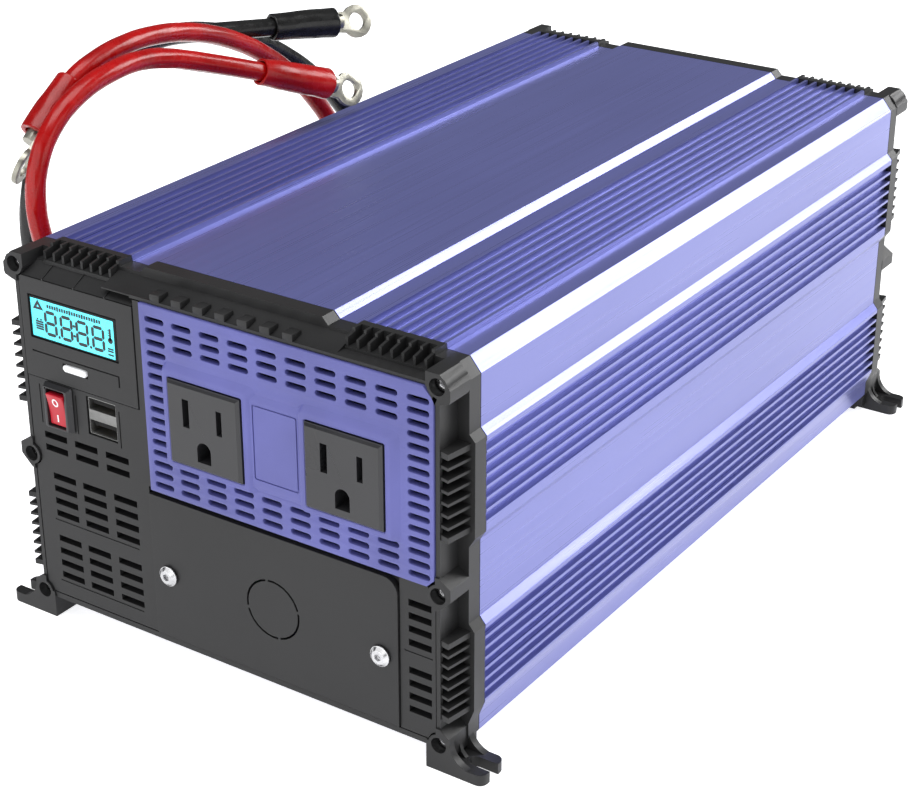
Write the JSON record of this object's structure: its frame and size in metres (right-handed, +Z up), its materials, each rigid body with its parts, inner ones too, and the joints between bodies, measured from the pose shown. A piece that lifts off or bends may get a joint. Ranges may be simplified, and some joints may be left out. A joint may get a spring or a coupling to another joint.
{
  "type": "power inverter",
  "caption": "Finned aluminium power inverter with plastic end frames, household outlets, display, USB ports, rear fans and terminals, and coiled battery cables.",
  "frame": {"origin": "on the floor, under the middle of the case", "axes": "+X to the right and +Y to the rear as seen facing the outlets, +Z up; the cable coil stands on the -X side"},
  "size_m": [0.221, 0.329, 0.1738],
  "materials": {
    "blue_aluminium": "satin anodised blue-violet",
    "black_plastic": "fine matte",
    "gloss_black_plastic": "semi-gloss",
    "blue_plastic": "satin",
    "red_plastic": "gloss",
    "white_plastic": "semi-gloss",
    "clear_window": "clear",
    "display": "backlit display, cyan",
    "steel": "bright plated",
    "brass": "machined",
    "tinned_copper": "tinned",
    "bare_aluminium": "mill",
    "circuit_board": "solder mask",
    "ferrite": "ferrite and tape",
    "capacitor_sleeve": "gloss sleeve",
    "red_insulation": "gloss insulation",
    "black_insulation": "gloss insulation"
  },
  "bodies": {
    "case": {"case_extrusion": "blue_aluminium", "front_frame": "black_plastic", "rear_frame": "black_plastic", "front_screw_top_left": "steel", "front_screw_top_right": "steel", "front_screw_middle_left": "steel", "front_screw_middle_right": "steel", "front_screw_bottom_left": "steel", "front_screw_bottom_right": "steel", "rear_screw_top_left": "steel", "rear_screw_top_right": "steel", "rear_screw_middle_left": "steel", "rear_screw_middle_right": "steel", "rear_screw_bottom_left": "steel", "rear_screw_bottom_right": "steel", "rear_panel": "black_plastic", "front_grille": "black_plastic", "control_panel": "black_plastic", "lcd_window": "clear_window", "lcd_module": "display", "switch_housing": "gloss_black_plastic", "usb_module": "steel", "outlet_panel": "blue_plastic", "outlet_left": "gloss_black_plastic", "outlet_right": "gloss_black_plastic", "wiring_cover": "black_plastic", "cover_screw_left": "steel", "cover_screw_right": "steel", "fan_frame_left": "black_plastic", "fan_frame_right": "black_plastic", "terminal_collar_red": "red_plastic", "terminal_collar_black": "gloss_black_plastic", "terminal_stud_red": "brass", "terminal_stud_black": "brass", "terminal_nut_red": "steel", "terminal_nut_black": "steel", "ground_screw": "steel", "main_board": "circuit_board", "transformer_front": "ferrite", "transformer_rear": "ferrite", "bus_capacitor": "capacitor_sleeve", "input_capacitor_left": "capacitor_sleeve", "input_capacitor_right": "capacitor_sleeve", "heat_bar_left": "bare_aluminium", "heat_bar_right": "bare_aluminium", "ac_terminal_block": "black_plastic", "red_cable": "red_insulation", "red_front_sleeve": "red_insulation", "red_rear_sleeve": "red_insulation", "red_front_lug": "tinned_copper", "red_rear_lug": "tinned_copper", "black_cable": "black_insulation", "black_terminal_sleeve": "black_insulation", "black_free_sleeve": "black_insulation", "black_terminal_lug": "tinned_copper", "black_free_lug": "tinned_copper"},
    "rocker": {"switch_rocker": "red_plastic"},
    "menu": {"menu_button": "white_plastic"},
    "left_rotor": {"fan_rotor_left": "black_plastic"},
    "right_rotor": {"fan_rotor_right": "black_plastic"}
  },
  "joints": [
    {"name": "switch_rock", "type": "hinge", "parent": "case", "child": "rocker", "pos_m": [-0.0646, -0.1515, 0.0797], "axis": [1, 0, 0], "range_deg": [-20, 0]},
    {"name": "menu_press", "type": "slide", "parent": "case", "child": "menu", "axis": [0, 1, 0], "range_m": [0, 0.0008]},
    {"name": "left_fan_spin", "type": "hinge", "parent": "case", "child": "left_rotor", "pos_m": [-0.037, 0.1405, 0.088], "axis": [0, 1, 0], "continuous": true},
    {"name": "right_fan_spin", "type": "hinge", "parent": "case", "child": "right_rotor", "pos_m": [0.037, 0.1405, 0.088], "axis": [0, 1, 0], "continuous": true}
  ]
}
